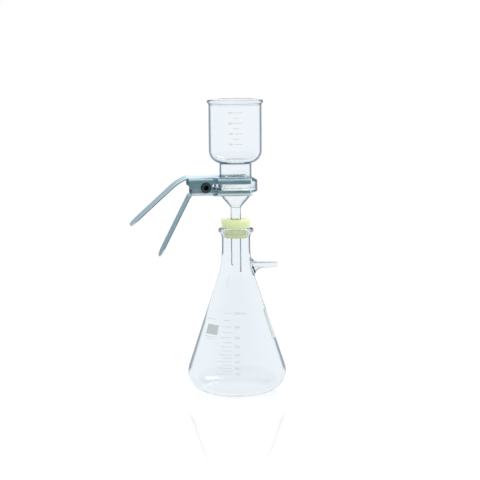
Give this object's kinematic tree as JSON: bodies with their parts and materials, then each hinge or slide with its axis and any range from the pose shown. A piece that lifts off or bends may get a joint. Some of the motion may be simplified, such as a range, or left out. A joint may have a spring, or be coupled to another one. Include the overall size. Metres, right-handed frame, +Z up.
{
  "type": "vacuum filtration flask",
  "caption": "Conical side-arm vacuum flask with a stoppered glass filter holder and a spring clamp that opens.",
  "frame": {"origin": "centre of the flask's flat bottom", "axes": "+Z up along the glassware's axis, +X along the flask's side arm, the clamp's handles towards -X"},
  "size_m": [0.2146, 0.1366, 0.4055],
  "materials": {
    "flask_glass": "fire-polished borosilicate glass",
    "holder_glass": "fire-polished borosilicate glass",
    "silicone": "translucent moulded silicone",
    "frit": "sintered glass, matt",
    "membrane": "matt",
    "anodised": "clear anodised, satin",
    "rivet_steel": "satin",
    "washer_steel": "blackened, satin",
    "sleeve_nylon": "matt",
    "spring_steel": "drawn wire"
  },
  "bodies": {
    "flask": {"flask": "flask_glass"},
    "stopper": {"stopper": "silicone"},
    "filter_base": {"filter_base": "holder_glass", "fritted_disc": "frit", "membrane_filter": "membrane"},
    "funnel": {"funnel": "holder_glass"},
    "clamp_pivot": {"pivot_rivet": "rivet_steel", "pivot_washers": "washer_steel", "spring_sleeve": "sleeve_nylon", "torsion_spring": "spring_steel"},
    "clamp_upper": {"clamp_upper_jaw": "anodised"},
    "clamp_lower": {"clamp_lower_jaw": "anodised"}
  },
  "joints": [
    {"name": "stopper_lift", "type": "slide", "parent": "flask", "child": "stopper", "axis": [0, 0, 1], "range_m": [0, 0.075]},
    {"name": "stem_slide", "type": "slide", "parent": "stopper", "child": "filter_base", "axis": [0, 0, 1], "range_m": [-0.012, 0.05]},
    {"name": "funnel_turn", "type": "hinge", "parent": "filter_base", "child": "funnel", "pos_m": [0, 0, 0.286], "axis": [0, 0, 1], "continuous": true},
    {"name": "clamp_pull_off", "type": "slide", "parent": "funnel", "child": "clamp_pivot", "axis": [-1, 0, 0], "range_m": [0, 0.06]},
    {"name": "upper_jaw_open", "type": "hinge", "parent": "clamp_pivot", "child": "clamp_upper", "pos_m": [-0.043, 0, 0.2872], "axis": [0, -1, 0], "range_deg": [0, 11], "stiffness_Nm_per_rad": 0.4, "springref_deg": -57.3, "deforming": ["torsion_spring"]},
    {"name": "lower_jaw_open", "type": "hinge", "parent": "clamp_pivot", "child": "clamp_lower", "pos_m": [-0.043, 0, 0.2872], "axis": [0, 1, 0], "range_deg": [0, 11], "stiffness_Nm_per_rad": 0.4, "springref_deg": -57.3, "deforming": ["torsion_spring"]}
  ],
  "couplings": [
    {"joint": "lower_jaw_open", "follows": "upper_jaw_open", "ratio": 1}
  ]
}
